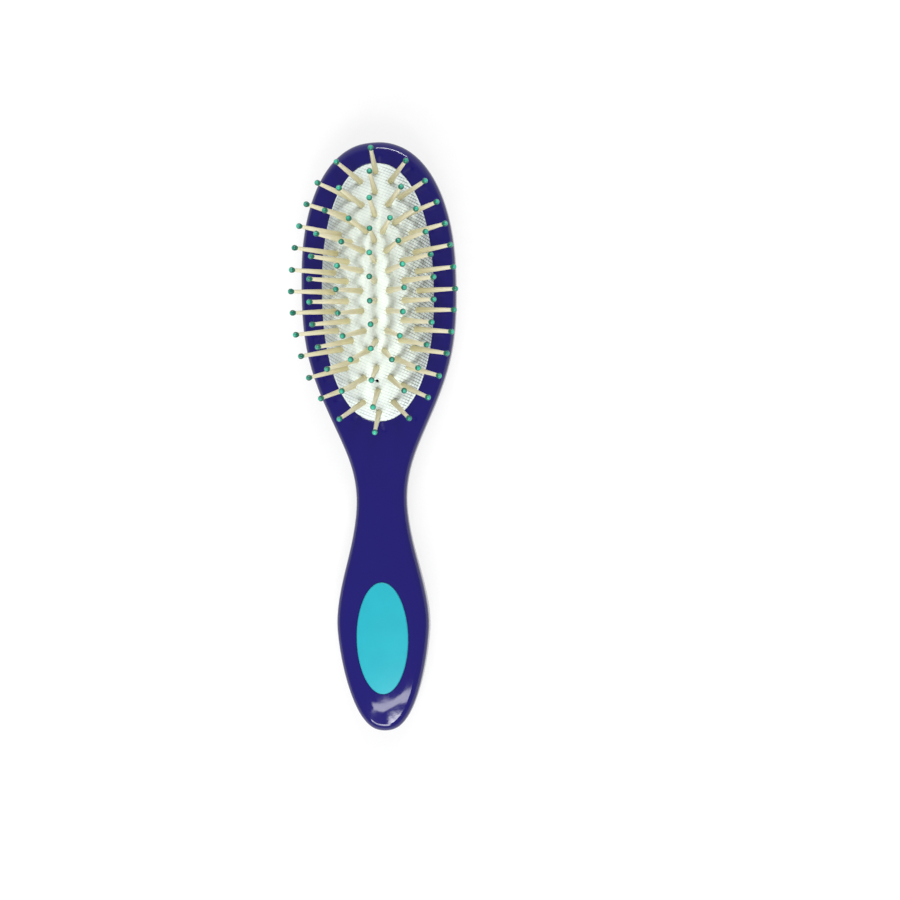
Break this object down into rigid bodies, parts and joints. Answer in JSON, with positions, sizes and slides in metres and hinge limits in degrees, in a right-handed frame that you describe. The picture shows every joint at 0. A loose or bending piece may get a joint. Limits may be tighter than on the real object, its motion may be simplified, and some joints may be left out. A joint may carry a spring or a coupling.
{
  "type": "detangling brush",
  "caption": "Oval cushion hair brush with splayed ball-tipped pins on a domed rubber pad, a waisted handle and a soft thumb inlay.",
  "frame": {"origin": "on the surface the brush lies on, under the middle of its length and width", "axes": "+Y from the handle's tail to the head's nose, +Z from the back up to the pins, +X across the brush"},
  "size_m": [0.0512, 0.178, 0.0379],
  "materials": {
    "body_plastic": "glossy moulded plastic, deep indigo",
    "cushion_cloth": "white rubber faced with fine woven cloth",
    "inlay_rubber": "matt turquoise soft rubber",
    "pin_nylon": "satin ivory nylon",
    "tip_resin": "glossy teal green ball"
  },
  "bodies": {
    "brush_body": {"body": "body_plastic", "cushion": "cushion_cloth", "thumb_inlay": "inlay_rubber"},
    "core_row": {"core_pins": "pin_nylon", "core_tips": "tip_resin"},
    "inner_ring": {"inner_left_pins": "pin_nylon", "inner_right_pins": "pin_nylon", "inner_centre_pins": "pin_nylon", "inner_left_tips": "tip_resin", "inner_right_tips": "tip_resin", "inner_centre_tips": "tip_resin"},
    "middle_ring": {"middle_left_pins": "pin_nylon", "middle_right_pins": "pin_nylon", "middle_centre_pins": "pin_nylon", "middle_left_tips": "tip_resin", "middle_right_tips": "tip_resin", "middle_centre_tips": "tip_resin"},
    "outer_ring": {"outer_left_pins": "pin_nylon", "outer_right_pins": "pin_nylon", "outer_centre_pins": "pin_nylon", "outer_left_tips": "tip_resin", "outer_right_tips": "tip_resin", "outer_centre_tips": "tip_resin"}
  },
  "joints": [
    {"name": "core_press", "type": "slide", "parent": "brush_body", "child": "core_row", "axis": [0, 0, -1], "range_m": [0, 0.003], "stiffness_N_per_m": 600, "deforming": ["cushion"]},
    {"name": "inner_press", "type": "slide", "parent": "brush_body", "child": "inner_ring", "axis": [0, 0, -1], "range_m": [0, 0.00258], "stiffness_N_per_m": 800},
    {"name": "middle_press", "type": "slide", "parent": "brush_body", "child": "middle_ring", "axis": [0, 0, -1], "range_m": [0, 0.00192], "stiffness_N_per_m": 1000},
    {"name": "outer_press", "type": "slide", "parent": "brush_body", "child": "outer_ring", "axis": [0, 0, -1], "range_m": [0, 0.00108], "stiffness_N_per_m": 1200}
  ],
  "couplings": [
    {"joint": "inner_press", "follows": "core_press", "ratio": 0.86},
    {"joint": "middle_press", "follows": "core_press", "ratio": 0.64},
    {"joint": "outer_press", "follows": "core_press", "ratio": 0.36}
  ]
}
